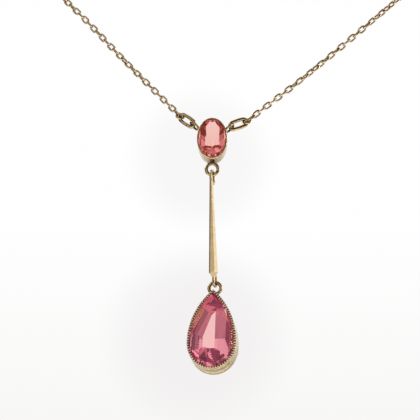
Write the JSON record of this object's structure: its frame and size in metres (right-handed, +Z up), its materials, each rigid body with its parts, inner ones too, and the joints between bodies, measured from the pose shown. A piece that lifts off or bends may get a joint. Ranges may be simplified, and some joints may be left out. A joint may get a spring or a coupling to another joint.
{
  "type": "necklace",
  "caption": "Fine gold trace chain with an oval pink-red stone, a tapered knife-edge bar drop and a pear-shaped pink-red stone in a beaded collet.",
  "frame": {"origin": "the nape: centre of the clasp ring, where the back of the chain rests on the neck", "axes": "+Z up as worn, -Y towards the front of the wearer where the drop hangs, +X to the right in the picture"},
  "size_m": [0.1168, 0.117, 0.1196],
  "materials": {
    "gold": "polished yellow gold with fine wear and a little tarnish in the recesses",
    "brushed_gold": "yellow gold with a fine lengthwise brushed grain",
    "chain_gold": "rosy gold, polished, darker between the links",
    "oval_stone": "clear faceted pink-red gemstone",
    "pear_stone": "clear faceted pink-red gemstone"
  },
  "bodies": {
    "centre": {"oval_collet": "gold", "oval_stone": "oval_stone", "side_link_left": "gold", "side_link_right": "gold", "end_ring_left": "gold", "end_ring_right": "gold", "chain_left": "chain_gold", "chain_right": "chain_gold", "bolt_ring": "chain_gold", "tag_ring": "chain_gold"},
    "bar": {"bar": "brushed_gold"},
    "drop": {"pear_collet": "gold", "pear_stone": "pear_stone"}
  },
  "joints": [
    {"name": "bar_swing", "type": "hinge", "parent": "centre", "child": "bar", "pos_m": [-0.00026, -0.1122, -0.0804], "axis": [0, 1, 0], "range_deg": [-60, 60]},
    {"name": "drop_swing", "type": "hinge", "parent": "bar", "child": "drop", "pos_m": [0.00022, -0.1122, -0.10171], "axis": [0, 1, 0], "range_deg": [-60, 60]}
  ]
}
